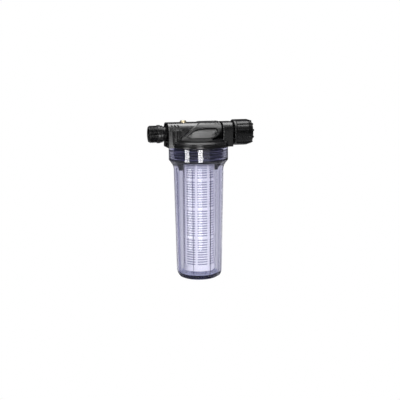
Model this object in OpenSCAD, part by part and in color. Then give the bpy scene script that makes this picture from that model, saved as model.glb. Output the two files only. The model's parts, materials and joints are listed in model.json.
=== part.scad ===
// Inline water filter: a moulded head with an inlet nipple, an outlet tailpiece with a
// swivelling union nut and a brass vent screw, over a clear screw-on bowl that holds a
// washable strainer cartridge.
// Millimetres. The origin is the centre of the bowl's flat base and +Z points up. Water
// enters at -X and leaves at +X, and -Y is the front.

/* [Ports] */
// Height of the port axis above the base
port_z = 285; // [284:0.5:287]
// Outside diameter of the 1 inch parallel pipe thread
thread_d = 33.25; // [33.25]
// Inside diameter of the 1 inch parallel pipe thread
thread_core_d = 30.29; // [30.29]
// Pitch of the 1 inch parallel pipe thread
thread_pitch = 2.309; // [2.309]
// Distance from the bowl axis to the nipple's open end
nipple_reach = 98.5; // [98:0.5:104]
// Radius of the nipple's bore
nipple_bore_r = 11.5; // [10:0.5:11.5]
// Radius of the tailpiece's bore
tail_bore_r = 9.8; // [8.8:0.2:9.8]
// Radius of the tailpiece's barrel, which the union nut passes over
tail_r = 13.2; // [13.2:0.1:13.3]
// Distance from the bowl axis to the tailpiece's sealing face
tail_reach = 84; // [84:0.5:85]

/* [Head] */
// Distance from the bowl axis to the inlet end face
inlet_face_x = 64; // [63:0.5:66]
// Distance from the bowl axis to the outlet end face
outlet_face_x = 64.5; // [63:0.5:65]
// Depth of the head from front to back
head_depth = 48; // [46:1:50]
// Height of the head's crest above the port axis
head_top = 21.7; // [21.5:0.1:23]
// Depth of the head's underside below the port axis
head_bottom = 26.5; // [26:0.1:27]
// Radius of the head's long top edges
head_edge_r = 14; // [12:1:15]
// How far the swept panel stands proud of the head
panel_proud = 2.8; // [2:0.2:3.2]
// Diameter of the flange over the bowl
flange_d = 115; // [114:0.5:116]

/* [Bowl] */
// Diameter of the bowl's collar
collar_d = 115.6; // [115:0.2:117]
// Diameter of the bowl under the shoulder
bowl_top_d = 96.6; // [95:0.2:98]
// Diameter of the bowl above the base
bowl_base_d = 88.2; // [87:0.2:90]
// Wall thickness under the shoulder
wall_top = 7.8; // [6.5:0.1:7.8]
// Wall thickness above the base
wall_base = 6; // [5:0.1:6]
// Thickness of the floor
floor_t = 10; // [9:0.5:11]
// Pitch of the coarse thread between bowl and head
bowl_pitch = 5.2; // [5:0.1:5.3]
// Number of outside ribs
rib_count = 8; // [6:1:10]
// How far a rib stands proud
rib_proud = 1.6; // [1:0.1:2]
// Width of a rib
rib_w = 2.2; // [1.6:0.1:3]

/* [Cartridge] */
// Outside diameter of the cartridge
cartridge_d = 63; // [61:0.5:63]
// Height of the cartridge's underside above the base
cartridge_z = 16; // [15.8:0.1:16.5]
// Length of the cartridge
cartridge_l = 248; // [247:0.5:248]
// Number of window sections along the cage
sections = 4; // [3:1:5]
// Number of slots in each section
slots = 11; // [8:1:12]
// Number of upright bars around the cage
bars = 8; // [6:1:10]
// Width of an upright bar
bar_w = 4.4; // [3:0.2:6]

/* [Union nut] */
// Distance from the bowl axis to the nut's rear face
nut_rear_x = 68; // [67:0.5:69]
// Distance from the bowl axis to the nut's open face
nut_front_x = 105.5; // [105:0.5:107]
// Diameter over the grip ribs
nut_d = 50.6; // [50:0.2:52]
// Number of grip ribs
nut_ribs = 10; // [8:1:12]

/* [Vent] */
// Distance of the vent from the bowl axis, on the inlet side
vent_x = 30; // [29:0.5:31]
// Radius of the vent screw's threaded shank
vent_r = 4.2; // [4:0.1:4.2]

/* [Hidden] */
$fn = 96;
eps = 0.05; // gap between pieces that touch
half_depth = head_depth / 2;
thread_r = thread_d / 2;
core_r = thread_core_d / 2;
crest_w = 0.5; // width of a pipe thread's crest
male_turns = 6; // crests on the nipple
female_turns = 7; // crests in the nut
male_first_x = nipple_reach - 2.35; // outermost crest of the nipple
female_first_x = tail_reach + 4.9; // innermost crest of the nut

boss_face = 3.5; // depth of the recess in each end face
rim_w = 3; // wall around that recess
boss_r = 20; // port boss in the recess
seat_x = 37.5; // where a fitting's tip stops in the head
seal_x = 46; // where the sealed bore gives way to the screwed bore
nipple_fix_r = 16; // screwed end of the nipple
nipple_tip_r = 14.7;
tail_tip_r = tail_r - 0.2;
gland_w = 2.6; // width of an O-ring groove on a fitting
gland_x = 40.2; // start of that groove
cord_r = 0.85; // O-ring cord radius on the fittings
collar_in_x = 71.3; // nipple collar, nearest the head
collar_out_x = 82.3;
nipple_collar_r = 17.5;

flange_z = port_z - 26; // underside of the flange
flange_r = flange_d / 2;
dome_z = port_z - 10.4; // top of the flange
roof_z = port_z - 15; // roof of the chamber in the head
skirt_z = flange_z - 27; // lower end of the threaded skirt
skirt_in_r = 41.5;
skirt_root_r = 46.4;
skirt_crest_r = 48.4;
skirt_turns = 4;
skirt_first_z = flange_z - 20.2; // lowest crest of the skirt
bowl_seal_z = skirt_z + 2.6;
bowl_seal_cord = 1.58;

bowl_top_z = flange_z - 0.2;
collar_r = collar_d / 2;
collar_z = bowl_top_z - 25.1; // where the collar gives way to the shoulder
waist_z = collar_z - 19.2; // foot of the shoulder
foot_z = 17; // top of the rounded base edge
foot_r = 31; // radius of the flat base
thread_root_r = 50.8;
thread_crest_r = 48.8;
seal_bore_r = 47.2;
ledge_z = skirt_z - 0.5;
inner_top_r = bowl_top_d / 2 - wall_top;
inner_base_r = bowl_base_d / 2 - wall_base;

cart_r = cartridge_d / 2;
cart_top = cartridge_z + cartridge_l;
cap_h = 10; // height of each end cap
gasket_t = 2.6;
gasket_in_r = 12;
gasket_out_r = 22;
gasket_rise = 0.6; // how far a gasket stands out of its cap
cage_z = cartridge_z + cap_h;
cage_l = cartridge_l - 2 * cap_h;
section_l = cage_l / sections;
cage_wall = 2;
mesh_out_r = cart_r - cage_wall - eps;
mesh_wall = 0.6;
frame_out_r = mesh_out_r - mesh_wall - eps;
frame_wall = 2;

vent_top = port_z + head_top;

// ---------- helpers ----------

// Turns a shape drawn along Z into one along the port axis, so that its z is the row's x
module on_port_axis() {
    translate([0, 0, port_z]) rotate([0, 90, 0]) children();
}

// A ring of round section, centred on the Z axis at height z
module o_ring(ring_r, cord) {
    rotate_extrude() translate([ring_r, 0]) circle(r = cord, $fn = 32);
}

// Ring ridges of a thread as profile points, from low to high
function ridges(root, crest, first, pitch, count, flat, foot) = [
    for (i = [0 : count - 1])
        for (p = [[root, -foot / 2], [crest, -flat / 2], [crest, flat / 2], [root, foot / 2]])
            [p[0], first + i * pitch + p[1]]
];

function reversed(list) = [for (i = [len(list) - 1 : -1 : 0]) list[i]];

// Points on a cubic curve
function curve(a, b, c, d, steps) = [
    for (i = [0 : steps])
        let (t = i / steps, u = 1 - t)
            u * u * u * a + 3 * u * u * t * b + 3 * u * t * t * c + t * t * t * d
];

// Points on an ellipse from angle a0 to a1
function sweep(cx, cy, rx, ry, a0, a1, steps) = [
    for (i = [0 : steps])
        let (a = a0 + (a1 - a0) * i / steps) [cx + rx * cos(a), cy + ry * sin(a)]
];

// ---------- head ----------

// The round-topped bar of the head from x0 to x1, made larger or smaller by grow
module bar(x0, x1, grow) {
    side = half_depth + grow;
    edge = head_edge_r + grow;
    crown_z = port_z + head_top - head_edge_r;
    low = port_z - head_bottom - grow;
    len_x = x1 - x0;
    flat = half_depth - head_edge_r;
    translate([x0, -side, low]) cube([len_x, 2 * side, crown_z - low]);
    for (s = [-1, 1])
        translate([x0, s * flat, crown_z]) rotate([0, 90, 0]) cylinder(r = edge, h = len_x);
    translate([x0, -flat, crown_z]) cube([len_x, 2 * flat, edge]);
}

// The flange, the threaded skirt and the seat for the cartridge, turned about the bowl axis
module flange_and_skirt() {
    groove_low = bowl_seal_z - 1.7;
    groove_high = bowl_seal_z + 1.7;
    land_r = 46.9;
    rotate_extrude()
        polygon(concat(
            [[0, cart_top + gasket_rise + eps], [16, cart_top + gasket_rise + eps],
             [18, roof_z], [skirt_in_r, roof_z], [skirt_in_r, skirt_z], [land_r, skirt_z],
             [land_r, groove_low], [44, groove_low], [44, groove_high],
             [land_r, groove_high], [land_r, skirt_z + 5], [skirt_root_r, skirt_z + 5]],
            ridges(skirt_root_r, skirt_crest_r, skirt_first_z, bowl_pitch, skirt_turns, 1.4, 3.4),
            [[skirt_root_r, flange_z], [flange_r - 0.6, flange_z], [flange_r, flange_z + 0.6],
             [flange_r, flange_z + 5], [flange_r - 0.9, flange_z + 5.5],
             [flange_r - 0.2, flange_z + 6.2], [flange_r - 0.2, flange_z + 7.6],
             [flange_r - 2, flange_z + 9.2]],
            curve([flange_r - 2, flange_z + 9.2], [52.5, flange_z + 9.8],
                  [50.6, flange_z + 10.6], [50, flange_z + 12.5], 6),
            [[48.4, dome_z - 0.2], [0, dome_z]]
        ));
}

// Outline of the swept panel, in x and in height above the port axis
module panel_outline() {
    polygon(concat(
        curve([-41, -8.3], [-30, -1.5], [-17, 15], [6, 24.5], 12),
        [[39.4, 26]],
        sweep(8, 14.5, 31.4, 26, 0, -90, 12),
        [[-38, -11.5]]
    ));
}

// The sunk field inside the panel's lip
module panel_field() {
    polygon(concat(
        curve([-27.5, -3], [-15, 8.6], [-8, 10.8], [8, 11.2], 10),
        [[28, 11.2], [30.6, 9.5]],
        sweep(8, 8, 22.5, 15, 0, -90, 8),
        [[-20, -7]]
    ));
}

// The panel; its field slopes inwards from its lower end up to the lip
module swept_panel() {
    field_foot_z = port_z - 7;
    field_slope = 9;
    front = half_depth + panel_proud;
    difference() {
        intersection() {
            bar(-42, 42, panel_proud);
            translate([0, 0, port_z]) rotate([90, 0, 0])
                linear_extrude(height = 2 * front, center = true) panel_outline();
        }
        for (side = [-1, 1])
            intersection() {
                translate([0, side * front, port_z]) rotate([90, 0, 0])
                    linear_extrude(height = 8, center = true) panel_field();
                translate([-50, side * front, field_foot_z]) rotate([side * field_slope, 0, 0])
                    translate([0, min(0, side * 10), 0]) cube([100, 10, 30]);
            }
        // cut back to the crest, so that the panel stands 1 mm above it
        translate([-50, -40, port_z + head_top + 1]) cube([100, 80, 10]);
    }
}

// The hollow in an end face, around its port boss, from face_x inwards
module end_pocket(face_x, depth, dir) {
    x0 = min(face_x, face_x - dir * depth);
    difference() {
        bar(x0, x0 + depth, -rim_w);
        on_port_axis() translate([0, 0, x0 - 1]) cylinder(r = boss_r, h = depth + 2);
        for (y = [-half_depth + 12, half_depth - 14.5])
            translate([x0, y, port_z - head_bottom]) cube([depth, 2.5, head_bottom]);
    }
}

// Upright decorative grooves over the front or back edge of the inlet half
module side_grooves() {
    groove_w = 2;
    groove_deep = 1.5;
    for (x = [-53.7, -47.6, -41.4])
        intersection() {
            difference() {
                bar(x, x + groove_w, 0.5);
                bar(x - 1, x + groove_w + 1, -groove_deep);
            }
            translate([x - 1, -40, port_z - 17]) cube([groove_w + 2, 80, 34]);
        }
}

// Short slanted nicks near the crest of the panel, front and back
module crest_nicks() {
    for (x = [28.6, 34.7, 40.8])
        for (side = [-1, 1])
            translate([x - 3, side * 17, port_z + head_top - 2]) rotate([side * 42, 0, 0])
                translate([0, -4, -1]) rotate([0, 0, side * 14]) cube([1.8, 8, 4]);
}

// Water ways, screwed seats for the two fittings and the vent hole
module waterways() {
    seat_l = seal_x - seat_x + 1;
    on_port_axis() {
        translate([0, 0, -inlet_face_x - 1])
            cylinder(r = nipple_fix_r + eps, h = inlet_face_x + 1 - seal_x);
        translate([0, 0, -seal_x - 1]) cylinder(r = nipple_tip_r + 0.1, h = seat_l + eps);
        translate([0, 0, -seat_x - 1]) cylinder(r = nipple_bore_r, h = 16);
        cylinder(r = tail_bore_r, h = seat_x + 1);
        translate([0, 0, seat_x - eps]) cylinder(r = tail_tip_r + 0.1, h = seat_l);
        translate([0, 0, seal_x]) cylinder(r = tail_r + eps, h = outlet_face_x + 1 - seal_x);
    }
    translate([0, 0, port_z]) sphere(r = tail_bore_r);
    translate([0, 0, cart_top - 1]) cylinder(r = tail_bore_r, h = port_z - cart_top + 1);
    translate([-29.5, 0, roof_z - 2]) cylinder(r = 8.5, h = port_z - roof_z + 2);
    translate([-vent_x, 0, port_z]) cylinder(r = 2.2, h = head_top + 1);
    translate([-vent_x, 0, vent_top - 9]) cylinder(r = 6.5 + eps, h = 10);
    translate([-vent_x, 0, vent_top - 1]) cylinder(r = 7.2 + eps, h = 2);
}

module head() {
    neck_r = 17;
    color([0.2, 0.2, 0.2])
    difference() {
        union() {
            flange_and_skirt();
            difference() {
                union() {
                    bar(-inlet_face_x, 6, 0);
                    bar(43.8, outlet_face_x, 0);
                    on_port_axis() cylinder(r = neck_r, h = 50);
                    translate([0, -14, roof_z]) cube([50, 28, port_z - roof_z]);
                }
                // keep the bars out of the chamber and clear of the bowl's collar
                translate([0, 0, skirt_z]) cylinder(r = flange_r - 1, h = roof_z + 2 - skirt_z);
                translate([0, 0, skirt_z]) cylinder(r = collar_r + 0.6, h = flange_z - skirt_z);
                side_grooves();
            }
            swept_panel();
        }
        crest_nicks();
        end_pocket(-inlet_face_x, 7.5, -1);
        end_pocket(outlet_face_x, 6.5, 1);
        waterways();
        for (s = [[-inlet_face_x - 1, boss_face + 1], [outlet_face_x - boss_face, boss_face + 1]])
            on_port_axis() translate([0, 0, s[0]]) cylinder(r = boss_r + 0.1, h = s[1]);
    }
}

// ---------- inlet fitting ----------

module inlet_nipple() {
    notch_w = 2.4;
    notches = 8;
    fix_x = inlet_face_x - boss_face;
    outer = concat(
        [[core_r - 0.6, nipple_reach], [core_r, nipple_reach - 0.8]],
        reversed(ridges(core_r, thread_r, male_first_x - (male_turns - 1) * thread_pitch,
                        thread_pitch, male_turns, crest_w, 2)),
        [[core_r, collar_out_x], [nipple_collar_r - 0.6, collar_out_x],
         [nipple_collar_r, collar_out_x - 0.6], [nipple_collar_r, collar_in_x + 0.6],
         [nipple_collar_r - 0.6, collar_in_x], [14.5, collar_in_x], [14.5, fix_x],
         [nipple_fix_r, fix_x], [nipple_fix_r, seal_x + eps], [nipple_tip_r, seal_x + eps],
         [nipple_tip_r, gland_x + gland_w], [13, gland_x + gland_w], [13, gland_x],
         [nipple_tip_r, gland_x], [nipple_tip_r, seat_x]]
    );
    color([0.1, 0.1, 0.1])
    difference() {
        on_port_axis() mirror([0, 0, 1]) rotate_extrude()
            polygon(concat(outer, [[nipple_bore_r, seat_x], [nipple_bore_r, nipple_reach]]));
        for (i = [0 : notches - 1])
            on_port_axis() rotate([0, 0, (i + 0.5) * 360 / notches])
                translate([nipple_collar_r - 1.2, -notch_w / 2, -collar_out_x + 2.5])
                    cube([3, notch_w, 12]);
    }
}

module inlet_o_ring() {
    color([0.05, 0.05, 0.05])
    on_port_axis() translate([0, 0, -gland_x - gland_w / 2]) o_ring(13.9, cord_r);
}

// ---------- outlet fitting ----------

module outlet_tailpiece() {
    groove_r = tail_tip_r - 1.7;
    shoulder_r = 15;
    color([0.1, 0.1, 0.1])
    on_port_axis() rotate_extrude()
        polygon([[tail_bore_r, seat_x], [tail_tip_r, seat_x], [tail_tip_r, gland_x],
            [groove_r, gland_x], [groove_r, gland_x + gland_w], [tail_tip_r, gland_x + gland_w],
            [tail_tip_r, seal_x + eps], [tail_r, seal_x + eps], [tail_r, tail_reach - 3],
            [shoulder_r, tail_reach - 3], [shoulder_r, tail_reach], [tail_bore_r, tail_reach]]);
}

module outlet_o_ring() {
    color([0.05, 0.05, 0.05])
    on_port_axis() translate([0, 0, gland_x + gland_w / 2])
        o_ring(tail_tip_r - 0.8, cord_r);
}

module union_nut() {
    body_r = nut_d / 2 - 1.6;
    rib_r = nut_d / 2;
    grip_w = 3.4;
    rear_r = 19;
    wall_in_x = tail_reach - 3 - 0.1;
    wall_out_x = wall_in_x - 4;
    bore_r = tail_r + 0.3;
    root_r = thread_r + 0.05;
    color([0.1, 0.1, 0.1])
    on_port_axis() {
        rotate_extrude()
            polygon(concat(
                [[rear_r, nut_rear_x], [rib_r - 1, nut_rear_x], [rib_r - 0.2, nut_rear_x + 0.8],
                 [rib_r - 0.2, nut_rear_x + 4], [body_r, nut_rear_x + 5],
                 [body_r, nut_front_x - 8], [body_r - 1, nut_front_x - 1],
                 [body_r - 2, nut_front_x], [root_r + 0.9, nut_front_x],
                 [root_r, nut_front_x - 0.9]],
                reversed(ridges(root_r, core_r, female_first_x, thread_pitch, female_turns,
                                crest_w, 2)),
                [[root_r, wall_in_x], [bore_r, wall_in_x], [bore_r, wall_out_x],
                 [rear_r, wall_out_x]]
            ));
        for (i = [0 : nut_ribs - 1])
            rotate([0, 0, 180 - 5 + i * 360 / nut_ribs]) rotate([90, 0, 0])
                linear_extrude(height = grip_w, center = true)
                    polygon([[body_r - 3, nut_rear_x + 3], [rib_r, nut_rear_x + 3],
                        [rib_r, nut_front_x - 8], [rib_r - 1.2, nut_front_x + 1.5],
                        [body_r - 3, nut_front_x + 1.5]]);
    }
}

module union_gasket() {
    gasket_r = 14.9;
    color([0.05, 0.05, 0.05])
    on_port_axis() rotate_extrude()
        translate([tail_bore_r + 0.7, tail_reach + eps])
            square([gasket_r - tail_bore_r - 0.7, 2]);
}

// ---------- vent ----------

module vent_insert() {
    color([0.8, 0.65, 0.3])
    translate([-vent_x, 0, vent_top]) rotate_extrude()
        polygon([[vent_r + 0.083, -8.9], [6.5, -8.9], [6.5, -0.95], [7.2, -0.95], [7.2, 0.8],
            [6.9, 1.1], [5.7, 1.1], [5.7, -0.4], [vent_r + 0.083, -0.4]]);
}

module vent_screw() {
    slot_w = 1.4;
    head_r = 5.6;
    color([0.8, 0.65, 0.3])
    translate([-vent_x, 0, vent_top]) difference() {
        rotate_extrude()
            polygon(concat(
                [[0, -8], [vent_r - 0.8, -8]],
                ridges(vent_r - 0.5, vent_r, -7, 0.907, 7, 0.3, 0.8),
                [[vent_r - 0.5, -1], [vent_r - 0.5, 1.15], [head_r, 1.15], [head_r, 3],
                 [head_r - 0.5, 3.5], [0, 3.5]]
            ));
        translate([-head_r - 1, -slot_w / 2, 2.1]) cube([2 * head_r + 2, slot_w, 3]);
    }
}

module vent_o_ring() {
    color([0.05, 0.05, 0.05])
    translate([-vent_x, 0, vent_top + 0.36]) o_ring(4.7, 0.72);
}

// ---------- bowl ----------

// Outside radius of the bowl's tapered body at height z
function body_r(z) = bowl_base_d / 2
    + (bowl_top_d - bowl_base_d) / 2 * (z - foot_z) / (waist_z - foot_z);

module bowl() {
    seat_top = cartridge_z - gasket_rise - eps;
    corner_r = 4;
    shoulder = curve([bowl_top_d / 2, waist_z], [bowl_top_d / 2 + 0.6, waist_z + 8],
                     [collar_r - 5.5, collar_z - 7], [collar_r, collar_z], 8);
    outside = concat(
        [[0, 0], [foot_r, 0]],
        sweep(foot_r, foot_z, bowl_base_d / 2 - foot_r, foot_z, -80, 0, 8),
        shoulder,
        [[collar_r, bowl_top_z - 0.6], [collar_r - 0.6, bowl_top_z]]
    );
    inside = concat(
        [[thread_root_r + 0.5, bowl_top_z], [thread_root_r, bowl_top_z - 1]],
        reversed(ridges(thread_root_r, thread_crest_r, skirt_first_z + bowl_pitch / 2,
                        bowl_pitch, skirt_turns - 1, 1.4, 3.4)),
        [[thread_root_r, ledge_z + 6.4], [seal_bore_r, ledge_z + 5.2], [seal_bore_r, ledge_z],
         [seal_bore_r - 2.7, ledge_z]],
        curve([seal_bore_r - 2.7, ledge_z], [seal_bore_r - 3.6, ledge_z - 7],
              [inner_top_r + 0.3, waist_z + 8], [inner_top_r, waist_z - 3], 6),
        sweep(inner_base_r - corner_r, floor_t + corner_r, corner_r, corner_r, 0, -90, 6),
        [[16.5, floor_t], [16.5, seat_top], [13.5, seat_top], [13.5, floor_t], [0, floor_t]]
    );
    color([0.6, 0.6, 0.75, 0.4]) {
        rotate_extrude() polygon(concat(outside, inside));
        for (i = [0 : rib_count - 1])
            rotate([0, 0, (i + 0.5) * 360 / rib_count]) rotate([90, 0, 0])
                linear_extrude(height = rib_w, center = true) bowl_rib();
    }
}

// Side view of one outside rib, which wraps the base edge and fades into the shoulder
module bowl_rib() {
    sink = 2;
    polygon(concat(
        [[foot_r - sink, 0.8], [foot_r + 4, 0.8]],
        sweep(foot_r + 3, foot_z, bowl_base_d / 2 - foot_r - 3 + rib_proud, foot_z - 2, -60, 0, 4),
        [[bowl_top_d / 2 + rib_proud, waist_z], [bowl_top_d / 2 + 2.6, waist_z + 8],
         [bowl_top_d / 2 - sink, waist_z + 8], [bowl_top_d / 2 - sink, waist_z],
         [bowl_base_d / 2 - sink, foot_z]]
    ));
}

module bowl_o_ring() {
    color([0.05, 0.05, 0.05])
    translate([0, 0, bowl_seal_z]) o_ring(45.6, bowl_seal_cord);
}

// Ring clipped inside the skirt, with two lugs that steady the cartridge
module centring_ring() {
    ring_z = skirt_z + 8;
    lug_w = 15;
    lug_in_r = cart_r + 0.8;
    lug_out_r = 43.2;
    lug_z = waist_z;
    color([0.15, 0.15, 0.15]) {
        translate([0, 0, ring_z]) rotate_extrude()
            translate([38.6, 0]) square([skirt_in_r - eps - 38.6, 6]);
        for (s = [0, 180])
            rotate([0, 0, s]) rotate([90, 0, 0]) linear_extrude(height = lug_w, center = true)
                polygon([[lug_in_r, lug_z], [38.2, lug_z], [lug_out_r - 1.6, lug_z + 13],
                    [lug_out_r - 1.6, skirt_z - 1.2], [40.6, skirt_z - 0.4],
                    [40.6, ring_z + 6], [lug_in_r, ring_z + 6]]);
    }
}

// ---------- cartridge ----------

// Upright bars of a cage between two radii, centred on even angles from first
module upright_bars(in_r, out_r, width, height, first) {
    span = width / out_r * 180 / PI;
    for (i = [0 : bars - 1])
        rotate([0, 0, first + i * 360 / bars - span / 2])
            rotate_extrude(angle = span) translate([in_r, 0]) square([out_r - in_r, height]);
}

module cartridge_cage() {
    hoop_h = 2.6;
    band_h = 4;
    inset = 0.2; // hoops and bands stay inside the bars' faces
    in_r = cart_r - cage_wall + inset;
    hoop_w = cage_wall - 2 * inset;
    pitch = (section_l - band_h) / slots;
    color([0.93, 0.93, 0.96])
    translate([0, 0, cage_z + eps]) {
        rotate_extrude() {
            for (s = [0 : sections])
                translate([in_r, min(max(inset, s * section_l - band_h / 2), cage_l - band_h)])
                    square([hoop_w, band_h - inset]);
            for (s = [0 : sections - 1])
                for (i = [1 : slots - 1])
                    translate([in_r, s * section_l + band_h / 2 + i * pitch - hoop_h / 2])
                        square([hoop_w, hoop_h]);
        }
        upright_bars(cart_r - cage_wall, cart_r, bar_w, cage_l - 2 * eps, 180 / bars);
    }
}

module cartridge_mesh() {
    color([0.75, 0.75, 0.8])
    translate([0, 0, cage_z + eps]) rotate_extrude()
        translate([mesh_out_r - mesh_wall, 0]) square([mesh_wall, cage_l - 2 * eps]);
}

module cartridge_inner_frame() {
    inset = 0.2;
    band_h = 4;
    color([0.93, 0.93, 0.96])
    translate([0, 0, cage_z + eps]) {
        rotate_extrude()
            for (s = [0 : sections])
                translate([frame_out_r - frame_wall + inset,
                           inset + s * (cage_l - band_h) / sections])
                    square([frame_wall - 2 * inset, band_h - 3 * inset]);
        upright_bars(frame_out_r - frame_wall, frame_out_r, 3, cage_l - 2 * eps, 0);
    }
}

// One end cap, with its outer face at z = 0 and its body above it
module end_cap(through_r) {
    skirt_h = 4;
    rotate_extrude()
        polygon([[through_r, gasket_t - gasket_rise + eps],
            [gasket_out_r + eps, gasket_t - gasket_rise + eps], [gasket_out_r + eps, 0],
            [cart_r - 1, 0], [cart_r, 1], [cart_r, cap_h], [frame_out_r - frame_wall - 1.5, cap_h],
            [frame_out_r - frame_wall - 1.5, skirt_h + 1.5], [through_r, skirt_h + 1.5]]);
}

module cartridge_top_cap() {
    color([0.93, 0.93, 0.96])
    translate([0, 0, cart_top]) mirror([0, 0, 1]) end_cap(gasket_in_r);
}

module cartridge_bottom_cap() {
    color([0.93, 0.93, 0.96])
    translate([0, 0, cartridge_z]) end_cap(0);
}

module flat_gasket() {
    color([0.85, 0.85, 0.85])
    rotate_extrude() translate([gasket_in_r, 0]) square([gasket_out_r - gasket_in_r, gasket_t]);
}

module cartridge_top_gasket() {
    translate([0, 0, cart_top + gasket_rise - gasket_t]) flat_gasket();
}

module cartridge_bottom_gasket() {
    translate([0, 0, cartridge_z - gasket_rise]) flat_gasket();
}

head();
inlet_nipple();
inlet_o_ring();
outlet_tailpiece();
outlet_o_ring();
union_nut();
union_gasket();
vent_insert();
vent_screw();
vent_o_ring();
bowl();
bowl_o_ring();
centring_ring();
cartridge_cage();
cartridge_mesh();
cartridge_inner_frame();
cartridge_top_cap();
cartridge_bottom_cap();
cartridge_top_gasket();
cartridge_bottom_gasket();
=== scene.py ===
"""Looks for the inline water filter: meshes, materials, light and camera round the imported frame."""
import json
import math

import bmesh
import bpy
import numpy as np
import openvdb
from mathutils import Euler, Matrix, Vector

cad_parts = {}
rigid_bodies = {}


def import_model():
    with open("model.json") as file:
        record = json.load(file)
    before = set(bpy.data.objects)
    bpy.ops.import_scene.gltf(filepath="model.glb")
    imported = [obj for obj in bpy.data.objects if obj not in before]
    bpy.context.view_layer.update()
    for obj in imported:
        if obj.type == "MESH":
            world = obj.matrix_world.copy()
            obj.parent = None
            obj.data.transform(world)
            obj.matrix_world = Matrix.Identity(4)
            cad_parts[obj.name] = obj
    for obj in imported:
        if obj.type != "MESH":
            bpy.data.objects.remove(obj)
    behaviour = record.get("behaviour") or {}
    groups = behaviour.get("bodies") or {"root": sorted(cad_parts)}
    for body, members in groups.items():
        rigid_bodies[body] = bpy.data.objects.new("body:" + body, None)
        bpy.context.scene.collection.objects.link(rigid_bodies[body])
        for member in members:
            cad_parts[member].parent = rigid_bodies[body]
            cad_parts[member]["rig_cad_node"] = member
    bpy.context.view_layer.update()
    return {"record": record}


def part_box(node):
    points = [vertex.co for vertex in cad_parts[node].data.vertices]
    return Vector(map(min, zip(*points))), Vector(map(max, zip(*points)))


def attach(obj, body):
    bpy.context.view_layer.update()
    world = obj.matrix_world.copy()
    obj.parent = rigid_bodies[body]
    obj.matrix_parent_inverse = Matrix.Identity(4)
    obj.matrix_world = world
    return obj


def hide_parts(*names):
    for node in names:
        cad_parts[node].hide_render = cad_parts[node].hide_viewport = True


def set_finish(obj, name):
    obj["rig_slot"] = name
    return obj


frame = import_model()

MM = 0.001  # all shapes below are drawn in millimetres and stored in metres
TAU = 2 * math.pi
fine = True


# ---------- sizes taken from the frame, in millimetres ----------

def span(node):
    """Lowest and highest corner of a CAD node."""
    low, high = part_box(node)
    return low / MM, high / MM


head_lo, head_hi = span("head")
nipple_lo, nipple_hi = span("inlet_nipple")
tail_lo, tail_hi = span("outlet_tailpiece")
nut_lo, nut_hi = span("union_nut")
gasket_lo, gasket_hi = span("union_gasket")
insert_lo, insert_hi = span("vent_insert")
screw_lo, screw_hi = span("vent_screw")
bowl_hi = span("bowl")[1]
bowl_seal_lo, bowl_seal_hi = span("bowl_o_ring")
ring_lo = span("centring_ring")[0]
cage_lo, cage_hi = span("cartridge_cage")
mesh_lo, mesh_hi = span("cartridge_mesh")
inner_lo, inner_hi = span("cartridge_inner_frame")
top_cap_lo, top_cap_hi = span("cartridge_top_cap")
bottom_cap_lo, bottom_cap_hi = span("cartridge_bottom_cap")
top_gasket_lo, top_gasket_hi = span("cartridge_top_gasket")
bottom_gasket_lo, bottom_gasket_hi = span("cartridge_bottom_gasket")

port_z = (nipple_lo.z + nipple_hi.z) / 2
flange_r = head_hi.y
flange_z = bowl_hi.z + 0.2
skirt_z = head_lo.z
collar_r = bowl_hi.x
cart_r = cage_hi.x
bowl_pitch = 5.2  # coarse thread between bowl and head
pipe_pitch = 2.309  # 1 inch parallel pipe thread
pipe_crest_r = 33.25 / 2
pipe_root_r = 30.29 / 2
block_x = 43.8  # inner face of the block at the outlet end of the head
nipple_bore, tail_bore = 11.5, 9.8
bars_round_cartridge, cartridge_sections = 8, 4


# ---------- drawing helpers ----------

def rounded(points, steps=5):
    """An outline from (x, y) or (x, y, radius) corners, with each radius drawn as an arc."""
    out = []
    for i, p in enumerate(points):
        if len(p) == 2:
            out.append(tuple(p))
            continue
        corner, radius = Vector(p[:2]), p[2]
        to_last = (Vector(points[i - 1][:2]) - corner).normalized()
        to_next = (Vector(points[(i + 1) % len(points)][:2]) - corner).normalized()
        half = to_last.angle(to_next) / 2
        centre = corner + (to_last + to_next).normalized() * radius / math.sin(half)
        start = corner + to_last * radius / math.tan(half) - centre
        end = corner + to_next * radius / math.tan(half) - centre
        turn = start.angle_signed(end)
        for k in range(steps + 1):
            a = -turn * k / steps
            out.append((centre.x + start.x * math.cos(a) - start.y * math.sin(a),
                        centre.y + start.x * math.sin(a) + start.y * math.cos(a)))
    return out


def curve(a, b, c, d, steps):
    """Points on a cubic curve from a to d, with b and c as its handles."""
    t = np.linspace(0, 1, steps + 1)[:, None]
    u = 1 - t
    points = u**3 * np.array(a) + 3 * u * u * t * np.array(b) \
        + 3 * u * t * t * np.array(c) + t**3 * np.array(d)
    return [tuple(p) for p in points]


def sweep(cx, cy, rx, ry, start, end, steps):
    """Points on an ellipse from the angle start to end, in degrees."""
    return [(cx + rx * math.cos(math.radians(a)), cy + ry * math.sin(math.radians(a)))
            for a in np.linspace(start, end, steps + 1)]


def smooth(x):
    """Rises from 0 to 1 as x does, level at both ends."""
    x = np.clip(x, 0, 1)
    return x * x * (3 - 2 * x)


def dense(outline, low, high, pitch):
    """The outline with its steps between two heights cut no longer than pitch."""
    out = [outline[0]]
    for a, b in zip(outline, outline[1:]):
        inside = min(a[1], b[1]) < high and max(a[1], b[1]) > low
        n = max(1, math.ceil(abs(b[1] - a[1]) / pitch)) if inside else 1
        for k in range(1, n + 1):
            out.append((a[0] + (b[0] - a[0]) * k / n, a[1] + (b[1] - a[1]) * k / n))
    return out


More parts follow.
